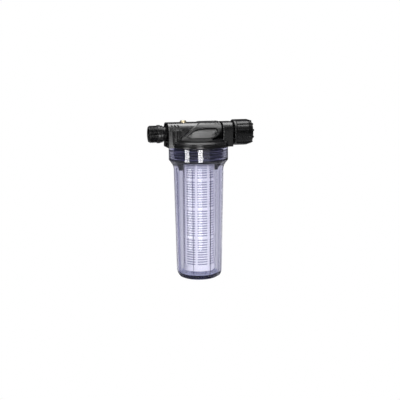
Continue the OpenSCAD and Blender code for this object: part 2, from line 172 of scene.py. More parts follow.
def mesh_object(name, verts, faces, body, slot, sharp=35):
    """A piece from points in millimetres, with outward normals and smooth shading."""
    mesh = bpy.data.meshes.new(name)
    mesh.from_pydata(np.asarray(verts, float) * MM, [], [tuple(f) for f in faces])
    bm = bmesh.new()
    bm.from_mesh(mesh)
    bmesh.ops.remove_doubles(bm, verts=bm.verts, dist=1e-7)
    bmesh.ops.recalc_face_normals(bm, faces=bm.faces)
    bm.to_mesh(mesh)
    bm.free()
    for p in mesh.polygons:
        p.use_smooth = True
    mesh.set_sharp_from_angle(angle=math.radians(sharp))
    piece = bpy.data.objects.new(name, mesh)
    bpy.context.scene.collection.objects.link(piece)
    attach(piece, body)
    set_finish(piece, slot)
    return piece


def lathe(name, outline, body, slot, axis="Z", at=(0, 0, 0), angles=None, warp=None, sharp=35):
    """A closed outline of (radius, height) points turned about an axis; warp may move them."""
    angles = np.linspace(0, TAU, 144, endpoint=False) if angles is None else angles
    r, h = (np.array(outline, float)[:, [k]] + 0 * angles for k in (0, 1))
    a = angles + 0 * r
    if warp:
        r, h = warp(r, h, a)
    r = np.maximum(r, 0)
    verts = np.stack([r * np.cos(a), r * np.sin(a), h], -1)
    if axis == "X":
        verts = verts[..., [2, 1, 0]] * (1, -1, 1)  # +Z becomes +X, and the sense is kept
    verts = verts.reshape(-1, 3) + np.array(at)
    n, m = r.shape
    faces = []
    for i in range(n):
        k = (i + 1) % n
        if max(outline[i][0], outline[k][0]) < 1e-6:
            continue
        for j in range(m):
            q = (j + 1) % m
            faces.append((i * m + j, i * m + q, k * m + q, k * m + j))
    return mesh_object(name, verts, faces, body, slot, sharp)


def helix(first, last, pitch, crest, flank):
    """How far up its ridge a right-hand thread is, 0 to 1, at a height and an angle."""
    def share(h, a):
        """0 at the thread's root and beyond its ends, 1 on its crest."""
        off = np.abs(((h - first) / pitch - a / TAU) % 1 - 0.5) * pitch
        ends = smooth((h - first) / pitch * 1.6) * smooth((last - h) / pitch * 1.6)
        return smooth((crest / 2 + flank - off) / flank) * ends
    return share


# ---------- solid modelling on a grid, for the moulded head ----------

class Solid:
    """A distance field on one shared grid: negative inside, in millimetres."""

    def __init__(self, low, high, step):
        self.step, self.low = step, np.array(low, float)
        x, y, z = (np.arange(a, b + step, step, dtype=np.float32) for a, b in zip(low, high))
        self.x, self.y, self.z = x[:, None, None], y[None, :, None], z[None, None, :]

    @staticmethod
    def outline(points, u, v):
        """Signed distance to a closed outline in the plane (u, v)."""
        points = np.array(points, float)
        best = np.full(np.broadcast(u, v).shape, 1e9)
        sign = np.ones_like(best)
        for (ax, ay), (bx, by) in zip(points, np.roll(points, -1, 0)):
            ex, ey = bx - ax, by - ay
            wx, wy = u - ax, v - ay
            t = np.clip((wx * ex + wy * ey) / max(ex * ex + ey * ey, 1e-12), 0, 1)
            best = np.minimum(best, (wx - ex * t) ** 2 + (wy - ey * t) ** 2)
            up, down, left = v >= ay, v < by, ex * wy > ey * wx
            crossing = (up & down & left) | (~up & ~down & ~left)
            sign = np.where(crossing, -sign, sign)
        return (np.sqrt(best) * sign).astype(np.float32)

    def along_x(self, points):
        """An outline in (y, z), as long as the grid."""
        return self.outline(points, self.y, self.z)

    def along_y(self, points):
        """An outline in (x, z), as deep as the grid."""
        return self.outline(points, self.x, self.z)

    def turned(self, points):
        """An outline in (radius, z), turned about the Z axis."""
        r = np.sqrt(self.x**2 + self.y**2)[:, :, 0]
        table_r = np.arange(0, r.max() + 2 * self.step, self.step, dtype=np.float32)
        table = self.outline(points, table_r[:, None], self.z[0])
        i = (r / self.step).astype(int)
        f = (r / self.step - i)[:, :, None]
        return table[i] * (1 - f) + table[i + 1] * f

    def post(self, x, y, radius):
        """An endless upright cylinder."""
        return np.sqrt((self.x - x) ** 2 + (self.y - y) ** 2) - radius

    def tube(self, radius):
        """An endless cylinder along the port axis, where z is 0."""
        return np.sqrt(self.y**2 + self.z**2) - radius

    @staticmethod
    def between(value, low, high):
        """An endless slab between two values of a coordinate."""
        return np.maximum(low - value, value - high)

    @staticmethod
    def join(a, b, blend):
        """Union with a fillet."""
        h = np.clip(0.5 + 0.5 * (b - a) / blend, 0, 1)
        return b + (a - b) * h - blend * h * (1 - h)

    @classmethod
    def meet(cls, a, b, blend):
        """Intersection with a rounded edge."""
        return -cls.join(-a, -b, blend)

    @classmethod
    def cut(cls, a, b, blend):
        """a without b, with a rounded edge."""
        return cls.meet(a, -b, blend)

    def mesh(self, field, adaptivity):
        """Vertices and faces of the surface."""
        band = 3 * self.step
        grid = openvdb.FloatGrid(band)
        grid.copyFromArray(np.clip(field, -band, band).astype(np.float32))
        points, tris, quads = grid.convertToPolygons(isovalue=0, adaptivity=adaptivity)
        return points * self.step + self.low, [*tris.tolist(), *quads.tolist()]


# ---------- the head ----------

def bar_outline(grow):
    """Cross-section of the head's bar in (y, height over the port axis)."""
    crest = head_hi.z - port_z - 1
    side, top, low = 24 + grow, crest - 0.4 + grow * 0.36, flange_z - port_z - 0.5
    edge = 14 + grow
    return rounded([(-side, low, 1), (side, low, 1), (side, top, edge), (0, top + 0.6, 60),
                    (-side, top, edge)], 8)


def panel_outline():
    """The swept panel on the front and back, in (x, height over the port axis)."""
    return curve((-41, -8.3), (-30, -1.5), (-17, 15), (6, 24.5), 16) + [(39.4, 26)] \
        + sweep(8, 14.5, 31.4, 26, 0, -90, 16) + [(-38, -11.5)]


def field_outline():
    """The sunk field inside the panel's lip."""
    return curve((-27.5, -3), (-15, 8.6), (-8, 10.8), (8, 11.2), 12) \
        + rounded([(26, 11.2), (30.6, 11, 2.4), (30.5, 6)], 5)[1:] \
        + sweep(8, 8, 22.5, 15, 0, -90, 12)[2:] + [(-20, -7)]


def flange_outline():
    """Half section of the flange and its dome, in (radius, height over the port axis)."""
    low = flange_z - port_z
    return rounded([(0, low), (flange_r, low, 0.8), (flange_r, low + 5, 0.4),
                    (flange_r - 1.1, low + 5.7, 0.3), (flange_r - 0.1, low + 6.4, 0.4),
                    (flange_r - 0.1, low + 9.3, 2), (54, low + 9.6)], 4) \
        + curve((54, low + 9.6), (52.5, low + 9.8), (50.6, low + 10.6), (50, low + 12.5), 8) \
        + rounded([(50, low + 12.5), (48.4, -10.4, 0.8), (0, -10.4)], 4)[1:]


def build_head():
    """The head's moulding: bar, swept panels, flange, end faces and water ways."""
    step = 0.5 if fine else 0.9
    s = Solid((head_lo.x - 3, -flange_r - 3, flange_z - port_z - 4),
              (head_hi.x + 3, flange_r + 3, head_hi.z - port_z + 3), step)
    x, y, z = s.x, s.y, s.z
    away = np.abs(y)
    face_in, face_out = head_lo.x, head_hi.x
    bar = s.along_x(bar_outline(0))
    left = s.meet(bar, s.between(x, face_in, 6), 1.6)
    right = s.meet(bar, s.between(x, block_x, face_out), 1.6)
    groove_zone = np.minimum(s.between(z, -19, 8.2), s.between(z, 12.6, 17.6))
    neck = np.maximum(s.tube(17), s.between(x, 0, 50))
    web = np.maximum(np.maximum(away - 14, s.between(z, -15, 0)), s.between(x, 0, 50))
    body = s.join(s.join(left, right, 0.8), s.join(neck, web, 3), 1.2)

    # swept panel: its field slopes inwards from its foot up to the lip
    edge = s.along_y(panel_outline())
    swell = 7.4 * np.clip((x + 44) / 84, 0, 1) * smooth((24 - z) / 20)
    skin = s.along_x(bar_outline(2.8)) - swell
    panel = s.meet(edge, skin, 0.9)
    field = s.along_y(field_outline())
    depth = 3.4 * np.clip((z + 7) / 17, 0, 1) * smooth((x + 31) / 14)
    panel = s.cut(panel, np.maximum(field, -(skin + depth)), 0.35)
    line = 2.6 * smooth((z + 5) / 9) * smooth((x + 29) / 8)
    panel = s.cut(panel, np.maximum(np.abs(field + 0.9) - 0.8, -(skin + depth + line)), 0.2)
    for nick_x in (28.6, 34.7, 40.8):
        lean = np.abs(x - nick_x + 0.4 * (z - 21)) - 1
        nick = np.maximum(np.maximum(lean, -(skin + 1.3)), s.between(z, 17.8, 23))
        panel = s.cut(panel, np.maximum(nick, 5 - away), 0.6)
    moat = np.maximum(np.abs(edge - 0.5) - 0.6, -(bar + 1.6 * smooth((9 - z) / 8)))
    moat = np.maximum(moat, 4 - away)
    body = s.cut(body, np.maximum(moat, s.between(x, -44, 6)), 0.4)
    body = s.join(body, panel, 0.3)
    for groove_x in (-52.7, -46.6, -40.4):
        lean = np.abs(x - groove_x + 0.48 * np.maximum(z - 8, 0)) - 1.15
        groove = np.maximum(np.maximum(lean, -(bar + 2.8)), groove_zone)
        body = s.cut(body, groove, 0.3)

    body = s.join(body, s.turned(flange_outline()), 1.8)

    # recess in each end face round the port boss, with two ribs under the port
    pocket = np.maximum(bar + 3, 20 - np.sqrt(y * y + z * z))
    for rib_y in (-10.8, 10.8):
        pocket = np.maximum(pocket, -np.maximum(np.abs(y - rib_y) - 1.3, z))
    boss = s.tube(20.4)
    body = s.cut(body, np.maximum(pocket, x - face_in - 7.5), 0.9)
    body = s.cut(body, np.maximum(pocket, face_out - 6.5 - x), 0.9)
    body = s.cut(body, np.maximum(boss, x - face_in - 3.5), 0.6)
    body = s.cut(body, np.maximum(boss, face_out - 3.5 - x), 0.6)

    # water ways, the chamber under the dome and the seat for the cartridge
    ways = np.maximum(s.tube(16.05), x + 46)
    ways = np.minimum(ways, np.maximum(s.tube(14.8), x + 37.4))
    ways = np.minimum(ways, np.maximum(s.tube(nipple_bore), x + 22))
    ways = np.minimum(ways, np.maximum(s.tube(tail_bore), -x))
    ways = np.minimum(ways, np.maximum(s.tube(13.2), 37.4 - x))
    ways = np.minimum(ways, np.maximum(s.post(0, 0, tail_bore), z))
    ways = np.minimum(ways, np.maximum(s.post(-29.5, 0, 8.5), z))
    seat_z = top_gasket_hi.z - port_z
    chamber = np.maximum(s.post(0, 0, 41.5), z + 15)
    chamber = np.maximum(chamber, -np.maximum(s.post(0, 0, 16.5), seat_z + 0.1 - z))
    ways = np.minimum(ways, chamber)
    vent_x = (insert_lo.x + insert_hi.x) / 2
    ways = np.minimum(ways, np.maximum(s.post(vent_x, 0, 2.2), -z))
    ways = np.minimum(ways, np.maximum(s.post(vent_x, 0, 6.6), insert_lo.z - port_z - 0.2 - z))
    ways = np.minimum(ways, np.maximum(s.post(vent_x, 0, 7.4), 21.6 - z))
    body = s.cut(body, ways, 0.5)
    body = np.maximum(body, flange_z - port_z - z)

    verts, faces = s.mesh(body, 0.02)
    piece = mesh_object("head_moulding", verts + np.array((0, 0, port_z)), faces, "head",
                        "head_plastic", 40)
    paint_light_and_shade_in_gloss(piece)
    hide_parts("head")
    return piece


def paint_light_and_shade_in_gloss(piece):
    """Paints light and shade into the head's specular level, kept as the gloss attribute: a painted
    highlight rising towards the crest, a painted sheen on the panel's sunk field, and painted shade
    that dulls the recess behind the panel and the dome under it. Satin on the swept panel.
    """
    points = np.empty(len(piece.data.vertices) * 3)
    piece.data.vertices.foreach_get("co", points)
    x, y, z = points.reshape(-1, 3).T / MM - np.array((0, 0, port_z))[:, None]
    inside = smooth(0.5 - Solid.outline(panel_outline(), x, z) / 0.8)
    panel = inside * smooth((np.abs(y) - 20) / 3)
    # painted shade: marks the recess behind the panel and the dome under it, where shade falls
    recess = (1 - inside) * (x > 5) * (x < block_x + 0.1) * (z > -10)
    recess *= smooth((26 - np.abs(y)) / 2)
    dome_shade = smooth((z + 16.5) / 2) * (z < -10) * smooth((51.5 - np.hypot(x, y)) / 2)
    block = (x > block_x - 0.3) & (z > flange_z - port_z - 0.5)
    field = smooth(0.5 - Solid.outline(field_outline(), x, z) / 0.8) * panel
    # painted highlight: the specular level rises towards the crest so the top reads lighter; the
    # outlet block gets a fixed 0.52
    gloss = np.where(block, 0.52, 0.30 + 0.48 * smooth((z - 3) / 9))
    # painted sheen: the panel takes a specular level of its own and its sunk field a much higher one,
    # so the field reads lighter
    gloss += (0.31 - gloss) * panel + 0.66 * field
    # painted shade: specular level nearly off in the recess and low on the dome, so both read dark
    gloss += (0.04 - gloss) * recess + (0.16 - gloss) * dome_shade * (1 - recess)
    for name, values in (("gloss", gloss), ("satin", panel)):
        mask = piece.data.attributes.new(name, "FLOAT", "POINT")
        mask.data.foreach_set("value", values.astype(np.float32))


def build_skirt():
    """The head's threaded skirt, with the groove for the bowl's seal."""
    seal_mid = (bowl_seal_lo.z + bowl_seal_hi.z) / 2
    root, land, groove_r, inner = 46.4, 46.9, 44, 41.5
    top = flange_z + 1.5
    outline = rounded([
        (inner, skirt_z, 0.4), (land, skirt_z, 0.5), (land, seal_mid - 1.7, 0.2),
        (groove_r, seal_mid - 1.7, 0.3), (groove_r, seal_mid + 1.7, 0.3),
        (land, seal_mid + 1.7, 0.2), (land, skirt_z + 4.7), (root, skirt_z + 5.4), (root, top),
        (inner, top)], 3)
    first, last = skirt_z + 4.9, flange_z - 1.2
    thread = helix(first, last, bowl_pitch, 1.3, 1.1)

    def warp(r, h, a):
        """Raises the coarse thread."""
        return np.where(r > root - 0.5, r + (48.4 - root) * thread(h, a), r), h

    angles = np.linspace(0, TAU, 240, endpoint=False)
    return lathe("head_threaded_skirt", dense(outline, first, last, 0.33), "head",
                 "head_plastic", angles=angles, warp=warp)


# ---------- port fittings ----------

def build_nipple():
    """The inlet fitting: pipe thread, notched collar and the barrel in the head."""
    tip, fix, face = -37.5, -46, head_lo.x + 3.5
    end, bore = nipple_lo.x, nipple_bore
    collar_r = nipple_hi.y
    outline = rounded([
        (bore, end, 0.7), (pipe_root_r - 0.2, end, 0.6), (pipe_root_r, end + 1.2),
        (pipe_root_r, -82.3, 0.3), (collar_r, -82.3, 0.8), (collar_r, -76.4, 0.4),
        (collar_r - 1.1, -75.6, 0.3), (collar_r - 1.1, -71.3, 0.8), (14.5, -71.3, 0.5),
        (14.5, face), (16, face), (16, fix), (14.7, fix), (14.7, -42.8), (13, -42.8),
        (13, -40.2), (14.7, -40.2), (14.7, tip, 0.5), (bore, tip)], 3)
    first, last = end + 0.9, -83.2
    thread = helix(first, last, pipe_pitch, 0.45, 0.8)
    notches = 8

    def warp(r, h, a):
        """Raises the thread and cuts the collar's notches."""
        screwed = (r > pipe_root_r - 0.4) & (h > first) & (h < last)
        r = np.where(screwed, r + (pipe_crest_r - pipe_root_r) * thread(h, a), r)
        turn = np.abs(((a / TAU * notches) % 1) - 0.5) / notches * TAU * collar_r
        notch = smooth((1.9 - turn) / 0.7) * smooth((h + 79.9) / 0.8) * (h < -71) * (r > 15.4)
        return r - 1.3 * notch, h

    angles = np.linspace(0, TAU, 192, endpoint=False)
    piece = lathe("inlet_nipple_body", dense(dense(outline, first, last, 0.2), -82, -71, 0.5),
                  "head", "fitting_plastic", axis="X", at=(0, 0, port_z), angles=angles,
                  warp=warp)
    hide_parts("inlet_nipple")
    return piece


def build_tailpiece():
    """The outlet fitting that the union nut turns on."""
    bore, tip_r, barrel = tail_bore, 13, 13.2
    start, end = tail_lo.x, tail_hi.x
    outline = rounded([
        (bore, start), (tip_r, start, 0.6), (tip_r, 40.2), (tip_r - 1.7, 40.2),
        (tip_r - 1.7, 42.8), (tip_r, 42.8), (tip_r, 46), (barrel, 46), (barrel, end - 3, 0.4),
        (tail_hi.y, end - 3, 0.3), (tail_hi.y, end, 0.4), (bore, end, 0.5)], 3)
    piece = lathe("outlet_tailpiece_body", outline, "head", "fitting_plastic", axis="X",
                  at=(0, 0, port_z))
    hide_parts("outlet_tailpiece")
    return piece


def build_nut():
    """The union nut, with grip ribs outside and a pipe thread inside."""
    rear, front, tips = nut_lo.x, nut_hi.x - 1.5, nut_hi.x
    rib_r = nut_hi.z - port_z
    body_r = rib_r - 1.7
    ribs = 10
    bore, wall_in = 13.5, tail_hi.x - 3.1
    root = pipe_crest_r + 0.05
    outer = rounded([
        (19, rear, 0.6), (rib_r - 0.2, rear, 1.4), (rib_r - 0.2, rear + 4.2, 0.7),
        (body_r, rear + 5.2, 0.8), (body_r, front - 9, 6), (body_r - 1.6, front, 1.6),
        (root + 1.2, front, 0.6), (root, front - 1.4)], 5)
    inner = [(root, wall_in), (bore, wall_in), (bore, wall_in - 4), (19, wall_in - 4)]
    outline = dense(outer + inner, rear + 1, front, 0.8)
    thread_from, thread_to = tail_hi.x + 3.2, front - 1
    thread = helix(thread_from, thread_to, pipe_pitch, 0.45, 0.8)
    outline = dense(outline, thread_from, thread_to, 0.22)

    def warp(r, h, a):
        """Raises the ribs, hollows the flutes between them and cuts the thread."""
        turn = ((a / TAU * ribs + 0.36) % 1 - 0.5) / ribs * TAU * rib_r
        rib = smooth((2.7 - np.abs(turn)) / 1.1)
        outside = (r > root + 3) & (h > rear + 4.5)
        lift = rib_r - body_r - 0.05 - 1.1 * smooth((h - front + 10) / 11)
        flute = 0.5 * np.cos(turn / rib_r * ribs / 2) ** 2 * smooth((h - rear - 6) / 3)
        r = np.where(outside, r + lift * rib - (1 - rib) * flute, r)
        h = np.where(outside, h + (tips - front) * rib * smooth((h - front + 2) / 2), h)
        inside = (np.abs(r - root) < 0.3) & (h > thread_from) & (h < thread_to)
        return np.where(inside, r - (root - pipe_root_r) * thread(h, a), r), h

    angles = np.linspace(0, TAU, 360, endpoint=False)
    piece = lathe("union_nut_grip", outline, "nut", "nut_plastic", axis="X",
                  at=(0, 0, port_z), angles=angles, warp=warp)
    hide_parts("union_nut")
    return piece


def build_ring_seal(name, node, body, axis):
    """An O-ring that fills its CAD node's box."""
    low, high = span(node)
    k = 0 if axis == "X" else 2
    cord = (high[k] - low[k]) / 2
    reach = (high.y - low.y) / 2 - cord
    section = [(reach + cord * math.cos(a), cord * math.sin(a))
               for a in np.linspace(0, TAU, 20, endpoint=False)]
    piece = lathe(name, section, body, "seal_rubber", axis=axis, at=(low + high) / 2, sharp=60)
    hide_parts(node)
    return piece


def build_union_gasket():
    """The flat seal between the tailpiece and a pump's port."""
    inner = 10.5
    outline = rounded([(inner, gasket_lo.x, 0.3), (gasket_hi.y, gasket_lo.x, 0.3),
                       (gasket_hi.y, gasket_hi.x, 0.3), (inner, gasket_hi.x, 0.3)], 3)
    piece = lathe("union_flat_gasket", outline, "head", "seal_rubber", axis="X",
                  at=(0, 0, port_z))
    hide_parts("union_gasket")
    return piece


def build_vent():
    """The brass bush in the head's crest and the bleed screw in it."""
    centre = ((insert_lo.x + insert_hi.x) / 2, 0, 0)
    top, low = insert_hi.z, insert_lo.z
    bore, cup = 4.283, 5.7
    outline = rounded([
        (bore, low), (6.4, low), (6.4, top - 2.05), (insert_hi.y, top - 2.05),
        (insert_hi.y, top, 0.35), (cup, top, 0.2), (cup, top - 1.5), (bore, top - 1.5)], 3)
    insert = lathe("vent_brass_insert", outline, "head", "vent_brass", at=centre)
    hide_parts("vent_insert")

    crown, head_r, shank = screw_hi.z, screw_hi.y, 4.2
    outline = rounded([
        (0, screw_lo.z), (shank - 0.8, screw_lo.z), (shank - 0.5, screw_lo.z + 0.6),
        (shank - 0.5, crown - 2.35), (head_r, crown - 2.35, 0.2), (head_r, crown, 0.7),
        (0, crown)], 4)
    first, last = screw_lo.z + 0.5, crown - 4.4
    thread = helix(first, last, 0.907, 0.2, 0.3)

    def warp(r, h, a):
        """Raises the screw's fine thread."""
        ridge = np.where((r > 3) & (h > first) & (h < last), 0.5 * thread(h, a), 0)
        return r + ridge, h

    screw = lathe("vent_screw_brass", dense(outline, first, last, 0.11), "vent_screw",
                  "vent_brass", at=centre, angles=np.linspace(0, TAU, 96, endpoint=False),
                  warp=warp)
    cut_slot(screw, centre[0], crown, head_r)
    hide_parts("vent_screw")


def cut_slot(screw, x, crown, reach):
    """A driver slot across the top of a screw."""
    width, depth = 1.4, 1.4
    bm = bmesh.new()
    bmesh.ops.create_cube(bm, size=1)
    for v in bm.verts:
        v.co = Vector((x + v.co.x * 2.4 * reach, v.co.y * width,
                       crown + v.co.z * 2 * depth)) * MM
    tool_mesh = bpy.data.meshes.new("slot_tool")
    bm.to_mesh(tool_mesh)
    bm.free()
    tool = bpy.data.objects.new("slot_tool", tool_mesh)
    bpy.context.scene.collection.objects.link(tool)
    cutter = screw.modifiers.new("slot", "BOOLEAN")
    cutter.operation, cutter.solver, cutter.object = "DIFFERENCE", "EXACT", tool
    bake(screw)
    bpy.data.objects.remove(tool)
    screw.data.set_sharp_from_angle(angle=math.radians(35))


def bake(piece):
    """Applies a piece's modifiers."""
    bpy.context.view_layer.update()
    done = bpy.data.meshes.new_from_object(
        piece.evaluated_get(bpy.context.evaluated_depsgraph_get()))
    piece.modifiers.clear()
    piece.data = done


# ---------- the bowl ----------

def build_bowl():
    """The clear bowl: collar with the coarse thread, shoulder, ribbed wall and thick base."""
    top, collar_low = bowl_hi.z, bowl_hi.z - 25.1
    waist = collar_low - 19.2
    body_top, body_base = 48.3, 44.1
    foot_r, foot_z, floor = 31, 17, 10
    seal_bore, ledge = 47.2, skirt_z - 0.5
    root, crest = 50.8, 48.8
    inner_top, inner_base = body_top - 7.8, body_base - 6
    seat_top = bottom_gasket_lo.z - 0.05
    ribs, proud = 8, 1.6

    outside = [(0, 0), (foot_r - 1, 0)] \
        + sweep(foot_r, foot_z, body_base - foot_r, foot_z, -84, 0, 14)
    outside += [(body_base + (body_top - body_base) * t, foot_z + (waist - foot_z) * t)
                for t in np.linspace(0.05, 0.95, 18)]
    outside += curve((body_top, waist), (body_top + 0.6, waist + 8),
                     (collar_r - 5.5, collar_low - 7), (collar_r, collar_low), 16)
    outside += rounded([(collar_r, collar_low + 0.5), (collar_r, top, 0.8),
                        (root + 0.6, top, 0.4), (root, top - 1)], 3)
    inside = rounded([(root, ledge + 6.6), (seal_bore, ledge + 5.2, 0.4), (seal_bore, ledge, 0.6),
                      (seal_bore - 2.7, ledge, 0.6)], 3)
    inside += curve((seal_bore - 2.7, ledge - 0.8), (seal_bore - 3.6, ledge - 7),
                    (inner_top + 0.3, waist + 8), (inner_top, waist - 3), 12)
    inside += sweep(inner_base - 4, floor + 4, 4, 4, 0, -90, 8)
    inside += rounded([(16.5, floor, 0.8), (16.5, seat_top, 0.5), (13.5, seat_top, 0.5),
                       (13.5, floor, 0.8), (0, floor)], 3)
    first, last = ledge + 7.6, top - 1.4
    thread = helix(first, last, bowl_pitch, 1.3, 1.1)
    outline = outside + inside
    outline = dense(outline, ledge + 6, top - 1, 0.4)

    rib_angles = (np.arange(ribs) + 0.5) * TAU / ribs - math.radians(6)
    near = np.array([-2.6, -2.1, -1.7, -1.45, -1.2, -0.6, 0, 0.6, 1.2, 1.45, 1.7, 2.1, 2.6])
    angles = np.linspace(0, TAU, 200, endpoint=False)
    off = np.abs((angles[:, None] - rib_angles + math.pi) % TAU - math.pi).min(1)
    angles = np.sort(np.concatenate(
        [angles[off > math.radians(3.2)], (rib_angles[:, None] + np.radians(near)).ravel()]))
    outer_points = len(outside)
    row = np.arange(len(outline))[:, None]

    def warp(r, h, a):
        """Raises the outside ribs and the thread in the collar."""
        off = np.abs((a[..., None] - rib_angles + math.pi) % TAU - math.pi).min(-1) * r
        rib = smooth((1.35 - off) / 0.35) * smooth((h - 0.6) / 4) * smooth((waist + 12 - h) / 14)
        skin = (row < outer_points) & (h < waist + 14)
        lifted = r + np.where(skin, proud * rib, 0)
        ridge = np.where((np.abs(r - root) < 0.1) & (h < last), thread(h + bowl_pitch / 2, a), 0)
        return lifted - (root - crest) * ridge, h

    piece = lathe("bowl_clear", outline, "bowl", "clear_bowl", angles=angles, warp=warp, sharp=50)
    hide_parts("bowl")
    return piece


def build_centring_ring():
    """A ring clipped in the skirt, with two lugs beside the cartridge."""
    hoop_z = skirt_z + 8
    inner, outer, top = 38.6, 41.45, hoop_z + 6
    bm = bmesh.new()
    hoop = rounded([(inner, hoop_z, 0.5), (outer, hoop_z, 0.5), (outer, top, 0.5),
                    (inner, top, 0.5)], 3)
    ring = lathe("centring_ring_hoop", hoop, "head", "head_plastic")
    low = ring_lo.z
    inside = cart_r + 0.8
    profile = rounded([(inside, low, 1), (38.2, low, 1), (41.6, low + 13, 1.5),
                       (41.6, skirt_z - 1.3, 0.6), (40.6, skirt_z - 0.5), (40.6, top - 1, 0.5),
                       (inside, top - 1, 0.8)], 4)
    half = 7.5
    for side in (1, -1):
        rows = [[bm.verts.new((side * u * MM, v * MM, w * MM)) for u, w in profile]
                for v in (-half, half)]
        bm.faces.new(rows[0])
        bm.faces.new(rows[1][::-1])
        for i in range(len(profile)):
            k = (i + 1) % len(profile)
            bm.faces.new((rows[0][i], rows[0][k], rows[1][k], rows[1][i]))
    bmesh.ops.recalc_face_normals(bm, faces=bm.faces)
    mesh = bpy.data.meshes.new("centring_ring_lugs")
    bm.to_mesh(mesh)
    bm.free()
    lugs = bpy.data.objects.new("centring_ring_lugs", mesh)
    bpy.context.scene.collection.objects.link(lugs)
    soften(lugs, 0.6, 60)
    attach(lugs, "head")
    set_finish(lugs, "head_plastic")
    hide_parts("centring_ring")
    return ring, lugs


def soften(piece, width, angle=35):
    """Rounds a piece's hard edges."""
    bevel = piece.modifiers.new("soft_edges", "BEVEL")
    bevel.width, bevel.segments = width * MM, 2
    bevel.limit_method, bevel.angle_limit = "ANGLE", math.radians(angle)
    bevel.harden_normals = True
    bake(piece)
    for p in piece.data.polygons:
        p.use_smooth = True
    piece.data.set_sharp_from_angle(angle=math.radians(50))


# ---------- the cartridge ----------

def columns_of_bars(first, bar_half, bar_cuts, window_cuts):
    """Angles round a cage, and whether a window may be open from each angle to the next."""
    bars = bars_round_cartridge
    window = TAU / bars - 2 * bar_half
    angles, is_open = [], []
    for b in range(bars):
        start = (b + first) * TAU / bars - bar_half
        angles += [start + 2 * bar_half * k / bar_cuts for k in range(bar_cuts)]
        angles += [start + 2 * bar_half + window * k / window_cuts for k in range(window_cuts)]
        is_open += [False] * bar_cuts + [True] * window_cuts
    return angles, is_open


def tube_of_windows(name, columns, rows, outer, inner, edge):
    """A tube wall with a window where a row and a column are both open."""
    (angles, open_column), (heights, open_row) = columns, rows
    m, n = len(angles), len(heights)
    verts = [(r * math.cos(a), r * math.sin(a), h)
             for r in (outer, inner) for h in heights for a in angles]
    layer = m * n
    faces = []

    def solid(i, j):
        return 0 <= j < n - 1 and not (open_row[j] and open_column[i % m])

    def corner(i, j, inner_side):
        return inner_side * layer + j * m + i % m

    for j in range(n - 1):
        for i in range(m):
            if not solid(i, j):
                continue
            quad = [(i, j), (i + 1, j), (i + 1, j + 1), (i, j + 1)]
            faces.append([corner(*q, 0) for q in quad])
            faces.append([corner(*q, 1) for q in reversed(quad)])
            for (di, dj), (p, q) in zip(((0, -1), (1, 0), (0, 1), (-1, 0)),
                                        zip(quad, quad[1:] + quad[:1])):
                if not solid(i + di, j + dj):
                    faces.append([corner(*p, 0), corner(*p, 1), corner(*q, 1), corner(*q, 0)])
    used = sorted({v for f in faces for v in f})
    place = {v: k for k, v in enumerate(used)}
    piece = mesh_object(name, [verts[v] for v in used], [[place[v] for v in f] for f in faces],
                        "cartridge", "cartridge_plastic", 30)
    soften(piece, edge)
    return piece


def build_cage():
    """The outer cage, with rows of slots between its upright bars."""
    slots, band, gap = 11, 4, 2.3
    low, high = cage_lo.z, cage_hi.z
    section = (high - low) / cartridge_sections
    pitch = (section - band) / slots
    heights, open_row = [low], []
    for s in range(cartridge_sections):
        start = low + s * section + band / 2
        for k in range(slots):
            mid = start + (k + 0.5) * pitch
            heights += [mid - gap / 2, mid + gap / 2]
            open_row += [False, True]
    heights.append(high)
    open_row.append(False)
    piece = tube_of_windows("cartridge_slotted_cage", columns_of_bars(0.5, 2.2 / cart_r, 2, 5),
                            (heights, open_row), cart_r, cart_r - 1.9, 0.35)
    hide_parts("cartridge_cage")
    return piece


def build_inner_frame():
    """The open frame that keeps the mesh from being pushed inwards."""
    low, high, outer, band = inner_lo.z, inner_hi.z, inner_hi.x, 4
    heights, open_row = [], []
    for s in range(cartridge_sections + 1):
        start = low + s * (high - low - band) / cartridge_sections
        heights += [start, start + band]
        open_row += [False, True]
    piece = tube_of_windows("cartridge_inner_support", columns_of_bars(0, 1.5 / outer, 1, 4),
                            (heights, open_row), outer, outer - 2, 0.3)
    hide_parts("cartridge_inner_frame")
    return piece


def build_mesh_sleeve():
    """The fine strainer between the two cages."""
    outer = mesh_hi.x
    inner = outer - 0.6
    outline = [(inner, mesh_lo.z), (outer, mesh_lo.z), (outer, mesh_hi.z), (inner, mesh_hi.z)]
    piece = lathe("cartridge_mesh_sleeve", outline, "cartridge", "strainer_mesh")
    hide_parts("cartridge_mesh")
    return piece


def build_cap(name, node, low, high, outward, through, gasket_r):
    """An end cap whose outer face looks along outward, +1 for up."""
    face, back = (high, low) if outward > 0 else (low, high)
    lip = 26
    outline = rounded([
        (through, face - 2.1 * outward), (gasket_r + 0.1, face - 2.1 * outward, 0.3),
        (gasket_r + 0.1, face, 0.4), (cart_r, face, 1.6), (cart_r, back, 0.4), (lip, back, 0.6),
        (lip, face - 5.5 * outward, 0.6), (through, face - 5.5 * outward)], 4)
    piece = lathe(name, outline, "cartridge", "cartridge_plastic")
    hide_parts(node)
    return piece


def build_cap_gasket(name, node, low, high):
    """A flat gasket in an end cap."""
    outline = rounded([(12, low, 0.5), (22, low, 0.5), (22, high, 0.5), (12, high, 0.5)], 3)
    piece = lathe(name, outline, "cartridge", "cartridge_gasket")
    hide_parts(node)
    return piece


